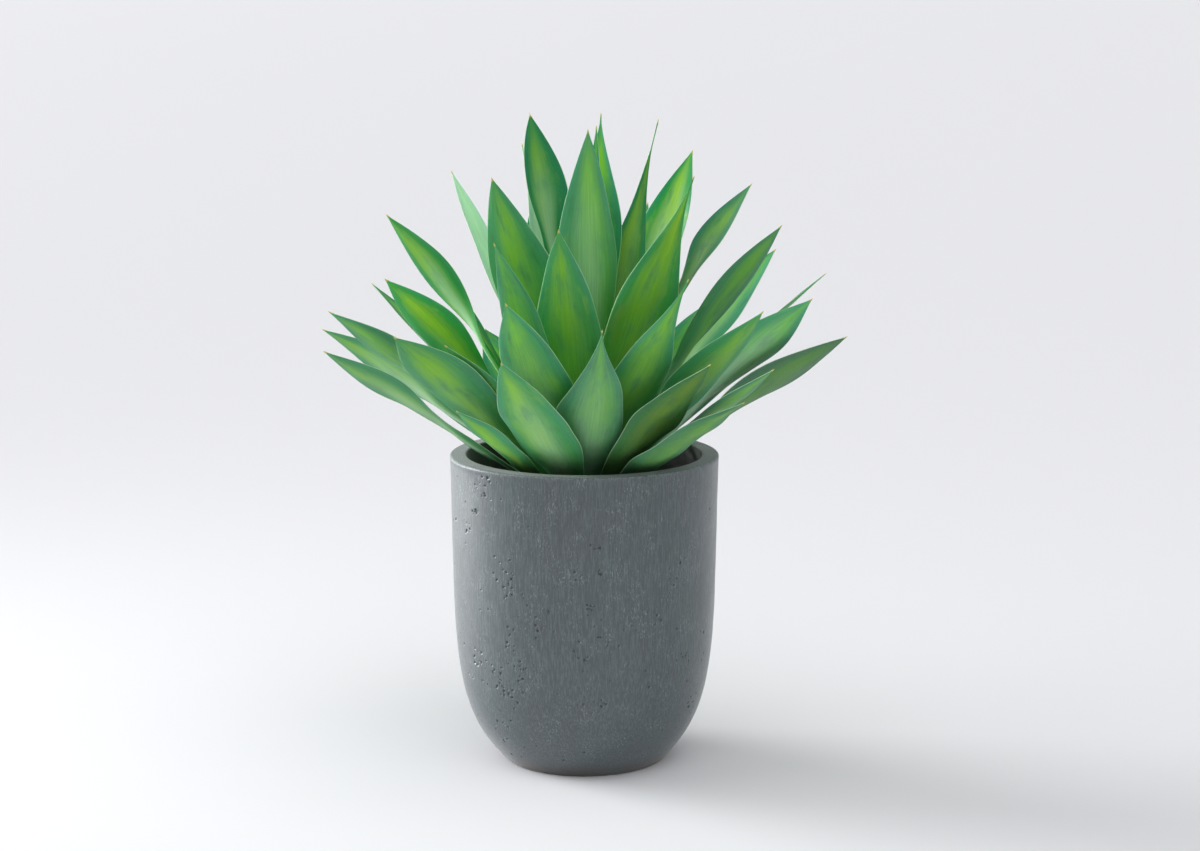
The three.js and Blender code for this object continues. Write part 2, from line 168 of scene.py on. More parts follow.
# One row a leaf, in the order of its nodes: angles in degrees, lengths in millimetres.
LEAF_ROWS = (
    # the left side, from the lowest leaf up
    (212, 33.5, 397, 60, 0, 4, 10, 22, 0, 1, 0.74, 3),
    (180, 36, 368, 72, 2, 16, 20, 40, 0, 1, 0.7, 2.4),
    (205, 39.5, 398, 68, 6, 16, 8, 24, 0, 1, 0.7, 2.4),
    (231, 37.5, 398, 86, 4, 8, 10, 24, -3, 1, 0.7, 1.6),
    (157, 43, 370, 72, 4, 6, 4, 10, 0, 1, 0.7, 2.2),
    (222, 46, 408, 66, 8, 18, 10, 28, 0, 1, 0.74, 2.2),
    (206, 56, 424, 56, 6, 24, -30, 34, 0, 1, 0.74, 2.2),
    (145, 64, 424, 46, 4, 8, 0, 0, -10, 1, 0.72, 2.4),
    (236, 33, 278, 46, 0, 2, 4, 8, 0, 1, 0.66, 1.4),
    (236, 41, 340, 56, 0, 6, 4, 8, 0, 1, 0.66, 1.4),
    (137, 28, 350, 70, 20, 16, 0, 0, 0, 1, 0.68, 2),
    # the front, from the lowest leaf up
    (302, 29.5, 364, 64, 12, 10, -4, -4, 6, 1, 0.42, 0.7),
    (308, 33, 388, 54, 0, 2, 2, -4, 0, 1, 0.6, 1),
    (295, 35, 382, 68, 9, 8, 0, -6, 0, 1, 0.5, 0.8),
    (254, 36, 376, 77, -6, -6, 2, 6, 4, 0.9, 0.55, 0.7),
    (274, 41, 385, 84, -6, -8, 0, 0, -4, 1.45, 0.5, 0.7),
    (254, 44, 400, 86, 0, 0, 2, 6, 0, 0.95, 0.55, 0.7),
    (292, 46, 422, 72, 2, 4, -4, -36, -8, 1.7, 0.5, 0.8),
    (249, 52.5, 422, 50, 4, 4, 6, 16, -1, 1.1, 0.62, 1.5),
    (264, 55.5, 422, 82, 2, 2, 0, 0, 2, 0.95, 0.55, 0.7),
    (242, 63, 446, 92, 4, 6, 4, 12, 0, 0.9, 0.56, 0.7),
    (304, 62.5, 450, 84, 8, 10, -4, -44, -8, 1.7, 0.5, 0.7),
    (273, 79.5, 448, 78, 2, 0, 0, 0, 4, 0.95, 0.58, 0.7),
    # the right side, from the lowest leaf up
    (333, 35.5, 396, 78, 8, 10, -8, -26, 0, 1, 0.7, 2),
    (20, 41.5, 405, 56, 4, 12, -10, -20, 0, 1, 0.7, 2.2),
    (327, 42.5, 399, 82, 0, 6, -8, -30, 2, 1, 0.7, 2),
    (308, 41, 408, 70, 2, 4, -4, -10, -6, 1, 0.66, 1.5),
    (34, 46.5, 398, 74, 12, 18, 4, 10, 0, 1, 0.7, 2.2),
    (329, 54, 424, 60, 8, 14, 10, -24, 0, 1, 0.7, 2),
    (36, 56.5, 441, 58, 24, 38, 0, 0, 0, 1, 0.78, 5),
    (53, 40, 350, 78, 4, 6, 0, 0, 0, 1, 0.7, 2),
    # the back, from the lowest leaf up
    (55, 28, 368, 74, 24, 20, 0, 0, 0, 1, 0.68, 2),
    (96, 27, 378, 80, 24, 20, 0, 0, 0, 1, 0.68, 2),
    (76, 31, 390, 82, 12, 12, 0, 0, 0, 1, 0.68, 2),
    (116, 33, 335, 76, 6, 8, 0, 0, 0, 1, 0.68, 2),
    (42, 32.5, 370, 74, 6, 8, 0, 0, 0, 1, 0.68, 2),
    (104, 36, 400, 84, 6, 8, 0, 0, -3, 1, 0.68, 2),
    (122, 38.5, 285, 76, 4, 6, 0, 0, 0, 1, 0.68, 2),
    (84, 40, 405, 84, 6, 6, 0, 0, 0, 1, 0.68, 2),
    (64, 49, 375, 80, 4, 6, 0, 0, -3, 1, 0.68, 2),
    (96, 48, 420, 84, 4, 6, 0, 0, 0, 1, 0.68, 2),
    (105, 55, 422, 66, 4, 6, 0, 0, 0, 1, 0.68, 2),
    (70, 57, 400, 84, 4, 6, 0, 0, 0, 1, 0.68, 2),
    (90, 66.5, 435, 76, 2, 2, 0, 0, -6, 1, 0.68, 2),
    (53, 62.5, 457, 80, 10, 14, 0, 0, 0, 1, 0.68, 1.5),
    (117, 69, 440, 28, 4, 4, 0, 0, 0, 1.8, 0.6, 2),
    (56, 71.5, 467, 56, 12, 20, 20, 60, 0, 2.2, 0.52, 1.2),
    (134, 80, 458, 71, 2, 4, 0, 0, -40, 0.9, 0.78, 6),
    (76, 81.5, 455, 66, 2, 2, 0, 0, -40, 1.4, 0.66, 1.5),
    (68, 87, 436, 34, 0, 0, 0, 0, 120, 1, 0.6, 1.2),
    # leaves that the front ones hide
    (355, 44, 340, 68, 6, 10, 0, 0, 0, 1, 0.68, 2),
    (5, 56, 380, 68, 6, 10, 0, 0, 0, 1, 0.68, 2),
    (170, 49, 340, 68, 6, 10, 0, 0, 0, 1, 0.68, 2),
    (175, 58, 330, 66, 6, 10, 0, 0, 0, 1, 0.68, 2),
    (336, 72, 380, 66, 4, 6, 0, 0, 0, 1, 0.68, 2),
    (206, 74, 380, 66, 4, 6, 0, 0, 0, 1, 0.68, 2),
    (150, 77, 310, 50, 4, 6, 0, 0, 0, 1, 0.68, 2),
)
# How much pale bloom and painted sheen a leaf shows along its middle, by its number. Above 1 it covers
# the whole leaf.
# The pale band is partly the leaves' real bloom and partly painted sheen and glow from the light at the
# back left, most of all on leaves 7, 8, 26 and 48.
BLOOM_AND_SHEEN = {
    1: 0.7,
    2: 0.8,
    3: 0.3,
    4: 0.1,
    5: 0.6,
    7: 1.0,
    8: 1.5,
    15: 0.4,
    16: 0.3,
    17: 0.4,
    23: 0.6,
    26: 1.0,
    27: 0.3,
    28: 0.5,
    30: 0.4,
    45: 0.7,
    46: 1.4,
    47: 0.2,
    48: 1.0,
}
BLOOM_AND_SHEEN_ELSEWHERE = 0.1
# Leaves that stand out, by number: how much lighter and warmer they are, or darker and cooler below 0.
# Some of these are painted light: leaf 14 is darkened as painted shade, and leaves 8 and 26 are lightened
# as painted glow and highlight.
STANDS_OUT = {
    4: (-0.1, 0.4),
    6: (0.9, 2.0),
    7: (0.4, 1.4),
    8: (1.0, 0.0),
    12: (-0.5, -0.4),
    14: (-1.5, 1.8),
    16: (-0.1, -0.8),
    17: (0.5, 0.0),
    18: (0.3, 0.2),
    20: (0.1, 0.6),
    21: (0.1, 0.4),
    22: (0.1, 1.4),
    23: (0.3, -0.4),
    24: (-1.3, -1.2),
    26: (1.0, -0.6),
    29: (-0.3, -0.6),
    30: (-0.7, 0.0),
    45: (-0.2, 1.6),
    47: (-0.5, 0.6),
    48: (-0.3, 0.4),
}
TONE_MOST = 1.5
WARMTH_MOST = 2.0
CHANCE_TONE = 0.4
CHANCE_WARMTH = 0.5


def srgb(code):
    """A linear colour from a web colour code."""
    parts = [((code >> shift) & 255) / 255 for shift in (16, 8, 0)]
    return [p / 12.92 if p <= 0.04045 else ((p + 0.055) / 1.055) ** 2.4 for p in parts]


def smoothstep(x):
    """Rises from 0 to 1 with level ends while x does."""
    u = np.clip(x, 0, 1)
    return u * u * (3 - 2 * u)


def bezier(points, s):
    """Points of a cubic curve at the shares s."""
    s = np.asarray(s, float)[..., None]
    a, b, c, d = np.asarray(points, float)
    return (1 - s) ** 3 * a + 3 * (1 - s) ** 2 * s * b + 3 * (1 - s) * s**2 * c + s**3 * d


def bezier_slope(points, s):
    """Directions of a cubic curve at the shares s."""
    s = np.asarray(s, float)[..., None]
    a, b, c, d = np.asarray(points, float)
    return 3 * (1 - s) ** 2 * (b - a) + 6 * (1 - s) * s * (c - b) + 3 * s**2 * (d - c)


# ---- settings ----


class PlanterSettings(bpy.types.PropertyGroup):
    """Size and finish of the planter."""

    height: FloatProperty(
        name="Height", description="From the foot to the rim", default=POT_HIGH.z, unit="LENGTH"
    )
    rim_radius: FloatProperty(
        name="Rim radius", description="Outside, at the rim", default=POT_HIGH.x, unit="LENGTH"
    )
    clay: FloatVectorProperty(
        name="Clay", description="Colour of the clay", subtype="COLOR", default=srgb(0x384749)
    )
    chalk: FloatVectorProperty(
        name="Chalk", description="Colour of the flecks", subtype="COLOR", default=srgb(0x98A3A4)
    )
    pit_depth: FloatProperty(
        name="Pit depth", description="Depth of a large pit", default=1.4 * MM, unit="LENGTH"
    )
    seed: IntProperty(name="Seed", description="Places of the pits", default=11)


class SoilSettings(bpy.types.PropertyGroup):
    """Grain and colour of the potting soil."""

    crumbs: IntProperty(name="Crumbs", description="Loose crumbs on top", default=1500)
    crumb_size: FloatProperty(
        name="Crumb size", description="Mean size of a crumb", default=4.5 * MM, unit="LENGTH"
    )
    peat: FloatVectorProperty(
        name="Peat", description="Colour of the damp soil", subtype="COLOR", default=srgb(0x3B2C22)
    )
    bark: FloatVectorProperty(
        name="Bark", description="Colour of the dry bits", subtype="COLOR", default=srgb(0x9B8768)
    )
    seed: IntProperty(name="Seed", description="Places of the crumbs", default=5)


class FoliageSettings(bpy.types.PropertyGroup):
    """Fineness and colours of the leaves and the stem."""

    rows: IntProperty(name="Rows", description="Sections along a leaf", default=84)
    columns: IntProperty(name="Columns", description="Strips across a leaf", default=26)
    middle: FloatVectorProperty(
        name="Middle", description="Colour along a leaf's middle", subtype="COLOR", default=srgb(0x80C23C)
    )
    margin: FloatVectorProperty(
        name="Margin", description="Colour near a leaf's edges", subtype="COLOR", default=srgb(0x3C9364)
    )
    # Painted shade: the dark, saturated green laid on the leaves' lower parts deep in the rosette, where
    # they shade each other and light comes through them.
    heart_shade: FloatVectorProperty(
        name="Heart", description="Colour deep in the rosette", subtype="COLOR", default=srgb(0x3E8A10)
    )
    # Colour of the pale bloom, which also carries the painted sheen and glow.
    bloom: FloatVectorProperty(
        name="Bloom", description="Colour of the pale bloom", subtype="COLOR", default=srgb(0xB9DCC2)
    )
    spine: FloatVectorProperty(
        name="Spine", description="Colour of the leaf's spine", subtype="COLOR", default=srgb(0xC3BE6A)
    )
    seed: IntProperty(name="Seed", description="Chance differences between the leaves", default=3)


class StageSettings(bpy.types.PropertyGroup):
    """Camera, light and floor."""

    lens: FloatProperty(name="Lens", description="Focal length in millimetres", default=77.4)
    floor: FloatVectorProperty(
        name="Floor", description="Colour of the floor", subtype="COLOR", default=(0.785, 0.79, 0.815)
    )
    window: FloatProperty(name="Window", description="Strength of the side light", default=3.4)
    window_turn: FloatProperty(name="Window turn", description="Degrees about +Z", default=156)
    edge: FloatProperty(name="Edge", description="Strength of the sheen on the left", default=4.6)
    panel: FloatProperty(name="Panel", description="Watts of the panel on the left", default=14.0)
    ceiling: FloatProperty(name="Ceiling", description="Strength of the high light", default=1.1)
    fill: FloatProperty(name="Fill", description="Strength of the light from the right", default=0.12)
    sky: FloatProperty(name="Sky", description="Strength of the surrounding light", default=0.44)


# ---- materials ----

# Colours that go with the ones in the settings.
LEAF_LIGHT_PATCH = 0x88BF4C
LEAF_DARK_PATCH = 0x2F7448
LEAF_TEAL = 0x3F8C80
# Painted shade: olive patches on the leaves' lower parts deep in the rosette.
LEAF_OLIVE_SHADE = 0x6E6A1E
LEAF_FOOT = 0xB9BC8A
# Painted sheen: the paler colour laid on the leaves' undersides.
LEAF_UNDERSIDE_SHEEN = 0x86B078
LEAF_LINES = 0x2F6B33
LEAF_MOTTLE = 0xA6D070
LEAF_GRAIN = 0xBBD6A8
LEAF_EDGE = 0xB6D8A4
STEM_DARK = 0x6B6238
STEM_PALE = 0xB9AE7A
STEM_YOUNG = 0xA9C46A
SOIL_GRAIN = 0x6A5240
SOIL_DAMP = 0x241A13
SOIL_DARK_BARK = 0x7A6446
CLAY_CLOUDS = 0x384249
CLAY_STROKES = 0x647376
CLAY_FINE_STROKES = 0x40484B
CLAY_PALE_SPECKS = 0xA3AAAA
CLAY_DARK_SPECKS = 0x33393C
CLAY_FOOT_BAND = 0x4A4540
# Painted shade inside the pits.
CLAY_PIT_SHADE = 0x2E3335
# Pale for wear at the rim's corner, and for painted light on the rim top and the pits' edges.
CLAY_RUBBED_AND_LIT = 0x9AA3A5
# Painted shade on the inside of the wall.
CLAY_INSIDE_SHADE = 0x2A2C2A


class Shader:
    """A new node material, with short calls that add and join its nodes from left to right."""

    def __init__(self, name):
        self.material = bpy.data.materials.new(name)
        self.material.use_nodes = True
        self.tree = self.material.node_tree
        self.surface = self.tree.nodes["Principled BSDF"]
        self.count = 0

    def add(self, kind, inputs, **settings):
        """A node of a kind, with its settings made before its inputs are set or joined."""
        made = self.tree.nodes.new("ShaderNode" + kind)
        made.location = (-1900 + 170 * (self.count // 4), 300 - 220 * (self.count % 4))
        self.count += 1
        for key, value in settings.items():
            setattr(made, key, value)
        for key, value in inputs.items():
            self.put(made.inputs[key], value)
        return made

    def put(self, socket, value):
        """Joins an output to a socket, or sets the socket to a plain value."""
        if isinstance(value, bpy.types.NodeSocket):
            self.tree.links.new(value, socket)
        elif hasattr(value, "__len__") and socket.type == "RGBA":
            socket.default_value = (*value[:3], 1)
        else:
            socket.default_value = value

    def material_with(self, inputs):
        """The material, once the surface's own inputs are set or joined."""
        for key, value in inputs.items():
            self.put(self.surface.inputs[key], value)
        return self.material

    def math(self, operation, a, b=0.0, clamp=False):
        return self.add("Math", {0: a, 1: b}, operation=operation, use_clamp=clamp).outputs[0]

    def product(self, first, *others):
        for other in others:
            first = self.math("MULTIPLY", first, other)
        return first

    def mix(self, factor, a, b, blend="MIX"):
        inputs = {0: factor, 6: a, 7: b}
        return self.add("Mix", inputs, data_type="RGBA", blend_type=blend).outputs[2]

    def between(self, value, low, high, to_low=0.0, to_high=1.0):
        """Maps a value smoothly from one range to another."""
        inputs = {0: value, 1: low, 2: high, 3: to_low, 4: to_high}
        return self.add("MapRange", inputs, interpolation_type="SMOOTHSTEP").outputs[0]

    def tint(self, under, code, value, low, high, most=1.0, blend="MIX"):
        """Lays a web colour over another as a value goes from low to high."""
        return self.mix(self.between(value, low, high, 0.0, most), under, srgb(code), blend)

    def noise(self, place, scale, detail=3.0, roughness=0.5, stretch=None, w=None):
        """Noise at a place, which can be stretched first. With w, each w has its own noise."""
        if stretch is not None:
            place = self.add("VectorMath", {0: place, 1: stretch}, operation="MULTIPLY").outputs[0]
        inputs = {"Vector": place, "Scale": scale, "Detail": detail, "Roughness": roughness}
        if w is not None:
            inputs["W"] = w
        dimensions = "3D" if w is None else "4D"
        return self.add("TexNoise", inputs, noise_dimensions=dimensions).outputs["Fac"]

    def attribute(self, name):
        return self.add("Attribute", {}, attribute_name=name).outputs["Fac"]

    def object_place(self):
        return self.add("TexCoord", {}).outputs["Object"]

    def bump(self, height, distance, strength, normal=None):
        inputs = {"Height": height, "Distance": distance, "Strength": strength}
        if normal is not None:
            inputs["Normal"] = normal
        return self.add("Bump", inputs).outputs["Normal"]


def leaf_wax(look):
    """Waxy leaf: blue-green margins, a yellow-green middle, fine lines and a thin pale edge, with painted
    sheen, glow and shade.
    """
    shader = Shader("leaf_wax")
    across = shader.attribute("across")
    along = shader.attribute("along")
    seed = shader.attribute("leaf_seed")
    place = shader.add("UVMap", {}, uv_map="blade").outputs["UV"]
    drift = shader.noise(place, 1.0, 2.0, stretch=(14, 5, 1), w=seed)
    patches = shader.noise(place, 1.0, 3.0, 0.55, stretch=(46, 17, 1), w=seed)
    mottle = shader.noise(place, 1.0, 4.0, 0.6, stretch=(130, 60, 1), w=seed)
    lines = shader.noise(place, 1.0, 2.0, stretch=(1500, 14, 1), w=seed)
    grain = shader.noise(place, 1.0, 1.0, stretch=(2600, 1700, 1))

    aside = shader.add("Math", {0: drift, 1: 1.1, 2: -0.55}, operation="MULTIPLY_ADD").outputs[0]
    from_band = shader.math("ABSOLUTE", shader.math("ADD", across, aside))
    band = shader.product(
        shader.between(from_band, 0.05, 0.85, 1.0, 0.0),
        shader.between(along, 0.15, 0.55),
        shader.between(along, 0.86, 1.0, 1.0, 0.25),
        shader.between(patches, 0.30, 0.62, 0.45, 1.0),
    )
    colour = shader.mix(band, look.margin, look.middle)
    colour = shader.tint(colour, LEAF_LIGHT_PATCH, patches, 0.54, 0.74, 0.5)
    colour = shader.tint(colour, LEAF_DARK_PATCH, patches, 0.47, 0.30, 0.5)

    from_middle = shader.math("ABSOLUTE", across)
    teal = shader.product(shader.between(from_middle, 0.62, 0.95), shader.between(drift, 0.3, 0.7), 0.6)
    colour = shader.mix(teal, colour, srgb(LEAF_TEAL))

    # Painted shade: the lower part of each leaf is darkened to the heart colour, the more so the deeper
    # the leaf sits in the rosette.
    depth = shader.between(shader.attribute("depth"), 0.0, 1.0)
    low = shader.product(shader.between(along, 0.34, 0.74, 1.0, 0.0), depth)
    colour = shader.mix(shader.product(low, 0.85), colour, look.heart_shade)
    # Painted shade: olive patches on the same shaded lower parts of the leaves.
    olive_shade = shader.product(shader.between(patches, 0.5, 0.68, 0.0, 0.4), low)
    colour = shader.mix(olive_shade, colour, srgb(LEAF_OLIVE_SHADE))

    # Partly real bloom, partly painted sheen and glow: a pale band along each leaf's middle.
    bloom = shader.attribute("bloom")
    centre = shader.between(from_middle, 0.1, 0.75, 1.0, 0.0)
    pale = shader.product(centre, shader.between(along, 0.50, 1.0, 1.0, 0.0), bloom)
    pale = shader.math("MAXIMUM", pale, shader.between(bloom, 1.0, 1.5, 0.0, 0.85))
    colour = shader.mix(shader.math("MULTIPLY", pale, 0.9, clamp=True), colour, look.bloom)
    colour = shader.tint(colour, LEAF_FOOT, along, 0.13, 0.04, 0.8)

    # Each leaf's lightness: a chance tone, and on a few leaves painted shade and light.
    tone = shader.attribute("tone")
    warmth = shader.attribute("warmth")
    own = {
        "Hue": shader.between(warmth, -WARMTH_MOST, WARMTH_MOST, 0.528, 0.474),
        "Saturation": shader.between(warmth, -WARMTH_MOST, WARMTH_MOST, 0.95, 1.22),
        "Value": shader.between(tone, -TONE_MOST, TONE_MOST, 0.50, 1.68),
        "Color": colour,
    }
    colour = shader.add("HueSaturation", own).outputs["Color"]
    # Painted sheen: the undersides are paled, as the sheen from the white floor makes them.
    under = shader.math("SUBTRACT", 1.0, shader.attribute("upper"))
    colour = shader.mix(shader.product(under, 0.22), colour, srgb(LEAF_UNDERSIDE_SHEEN))
    colour = shader.tint(colour, LEAF_LINES, lines, 0.3, 0.7, 0.22, "MULTIPLY")
    colour = shader.tint(colour, LEAF_MOTTLE, mottle, 0.55, 0.8, 0.16)
    colour = shader.tint(colour, LEAF_GRAIN, grain, 0.52, 0.72, 0.16)

    broken = shader.between(drift, 0.3, 0.6, 0.4, 1.0)
    edge = shader.product(shader.between(from_middle, 0.972, 0.992), broken, 0.9)
    colour = shader.mix(edge, colour, srgb(LEAF_EDGE))
    colour = shader.mix(shader.between(along, 0.990, 0.999), colour, look.spine)
    return shader.material_with(
        {
            "Base Color": colour,
            "Roughness": shader.between(mottle, 0.3, 0.7, 0.48, 0.60),
            "Specular IOR Level": 0.22,
            "Normal": shader.bump(shader.mix(0.35, lines, grain), 0.12 * MM, 0.5),
            "Subsurface Weight": 0.10,
            "Subsurface Radius": (0.5, 1.0, 0.3),
            "Subsurface Scale": 1.5 * MM,
        }
    )


def stem_bark(look):
    """Fibrous pale brown stem between the leaves' feet, and its green bud."""
    shader = Shader("stem_bark")
    place = shader.object_place()
    fibres = shader.noise(place, 1.0, 4.0, 0.6, stretch=(900, 900, 70))
    patches = shader.noise(place, 60.0, 3.0)
    colour = shader.mix(shader.between(fibres, 0.35, 0.7), srgb(STEM_DARK), srgb(STEM_PALE))
    green = shader.between(shader.attribute("young"), 0.0, 1.0)
    colour = shader.mix(green, colour, shader.mix(patches, look.middle, srgb(STEM_YOUNG)))
    return shader.material_with(
        {"Base Color": colour, "Roughness": 0.7, "Normal": shader.bump(fibres, 0.5 * MM, 0.7)}
    )


def potting_soil(look):
    """Damp peat with dry bark bits."""
    shader = Shader("potting_soil")
    place = shader.object_place()
    grain = shader.noise(place, 700.0, 5.0, 0.7)
    damp = shader.noise(place, 45.0, 3.0)
    colour = shader.mix(shader.between(grain, 0.35, 0.75), look.peat, srgb(SOIL_GRAIN))
    colour = shader.tint(colour, SOIL_DAMP, damp, 0.4, 0.7, 0.6)
    bark = shader.mix(grain, srgb(SOIL_DARK_BARK), look.bark)
    colour = shader.mix(shader.attribute("dry"), colour, bark)
    return shader.material_with(
        {
            "Base Color": colour,
            "Roughness": 0.95,
            "Specular IOR Level": 0.2,
            "Normal": shader.bump(grain, 1.2 * MM, 0.9),
        }
    )


def fibre_clay(look):
    """Charcoal fibre clay, brushed upright, with chalky flecks and wear at the rim's corner, and painted
    light and shade: dark pits and inside, a pale edge on one side of each pit and a paler rim top.
    """
    shader = Shader("fibre_clay")
    place = shader.object_place()
    strokes = shader.noise(place, 640.0, 4.0, 0.66, stretch=(1, 1, 0.07))
    fine = shader.noise(place, 1250.0, 3.0, 0.6, stretch=(1, 1, 0.16))
    clouds = shader.noise(place, 13.0, 3.0, 0.55, stretch=(1, 1, 0.55))
    flecks = shader.noise(place, 620.0, 4.0, 0.72, stretch=(1, 1, 0.35))
    patches = shader.noise(place, 34.0, 4.0, 0.6)
    speck = shader.noise(place, 1500.0, 2.0, 0.6)

    colour = shader.mix(shader.between(clouds, 0.35, 0.68), srgb(CLAY_CLOUDS), look.clay)
    colour = shader.tint(colour, CLAY_STROKES, strokes, 0.42, 0.64, 0.5)
    colour = shader.tint(colour, CLAY_FINE_STROKES, fine, 0.46, 0.68, 0.5)
    where = shader.between(patches, 0.44, 0.66, 0.12, 1.0)
    chalk = shader.product(shader.between(flecks, 0.54, 0.64), where, 0.55)
    colour = shader.mix(chalk, colour, look.chalk)
    colour = shader.tint(colour, CLAY_PALE_SPECKS, speck, 0.66, 0.75, 0.5)
    colour = shader.tint(colour, CLAY_DARK_SPECKS, speck, 0.34, 0.27, 0.5)

    height = shader.add("SeparateXYZ", {0: place}).outputs[2]
    uneven = shader.between(patches, 0.3, 0.55, 0.15, 1.0)
    foot = shader.product(shader.between(height, 26 * MM, 6 * MM), uneven, 0.8)
    colour = shader.mix(foot, colour, srgb(CLAY_FOOT_BAND))
    # Painted shade: the inside of each pit is darkened.
    pit = shader.attribute("pit")
    colour = shader.tint(colour, CLAY_PIT_SHADE, pit, 0.2, 0.9, 0.5)
    # Partly wear and partly painted light: the rim's outer corner is paled by wear, and its flat top and
    # one side of each pit's edge are paled as painted highlight.
    rubbed_and_lit = shader.attribute("worn")
    worn = shader.product(rubbed_and_lit, shader.between(flecks, 0.40, 0.62, 0.15, 0.8))
    colour = shader.mix(worn, colour, srgb(CLAY_RUBBED_AND_LIT))
    # Painted shade: the inside of the wall is darkened.
    inside = shader.attribute("inside")
    colour = shader.mix(shader.product(inside, 0.8), colour, srgb(CLAY_INSIDE_SHADE))

    matt = shader.math("MAXIMUM", pit, rubbed_and_lit)
    matt = shader.product(shader.math("MAXIMUM", matt, inside), 0.5)
    satin = shader.between(clouds, 0.3, 0.7, 0.34, 0.44)
    relief = shader.mix(0.45, strokes, flecks)
    rough = shader.bump(speck, 0.25 * MM, 0.35)
    return shader.material_with(
        {
            "Base Color": colour,
            "Roughness": shader.math("ADD", satin, matt, clamp=True),
            "Specular IOR Level": 0.95,
            "Normal": shader.bump(relief, 0.45 * MM, 0.55, rough),
            "Sheen Weight": 0.35,
            "Sheen Roughness": 0.3,
        }
    )


# ---- meshes ----


def made_from(mesh, material, attributes):
    """A smooth-shaded object from a mesh, with named values on its points."""
    mesh.shade_smooth()
    for key, values in attributes.items():
        layer = mesh.attributes.new(key, "FLOAT", "POINT")
        layer.data.foreach_set("value", np.asarray(values, np.float32))
    mesh.materials.append(material)
    made = bpy.data.objects.new(mesh.name, mesh)
    bpy.context.scene.collection.objects.link(made)
    return made


def mesh_object(name, points, faces, material, attributes):
    """A smooth-shaded object from points and faces, with named values on its points."""
    mesh = bpy.data.meshes.new(name)
    mesh.from_pydata([tuple(p) for p in points], [], [tuple(f) for f in faces])
    return made_from(mesh, material, attributes)


def dress(piece, node):
    """Seats a piece on the plant's one body, in place of a CAD node."""
    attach(piece, "root")
    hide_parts(node)


def lumps(place, waves):
    """Smooth chance at a place: a sum of noises, each with its fineness and size."""
    return sum(noise.noise(place * fineness) * size for fineness, size in waves)


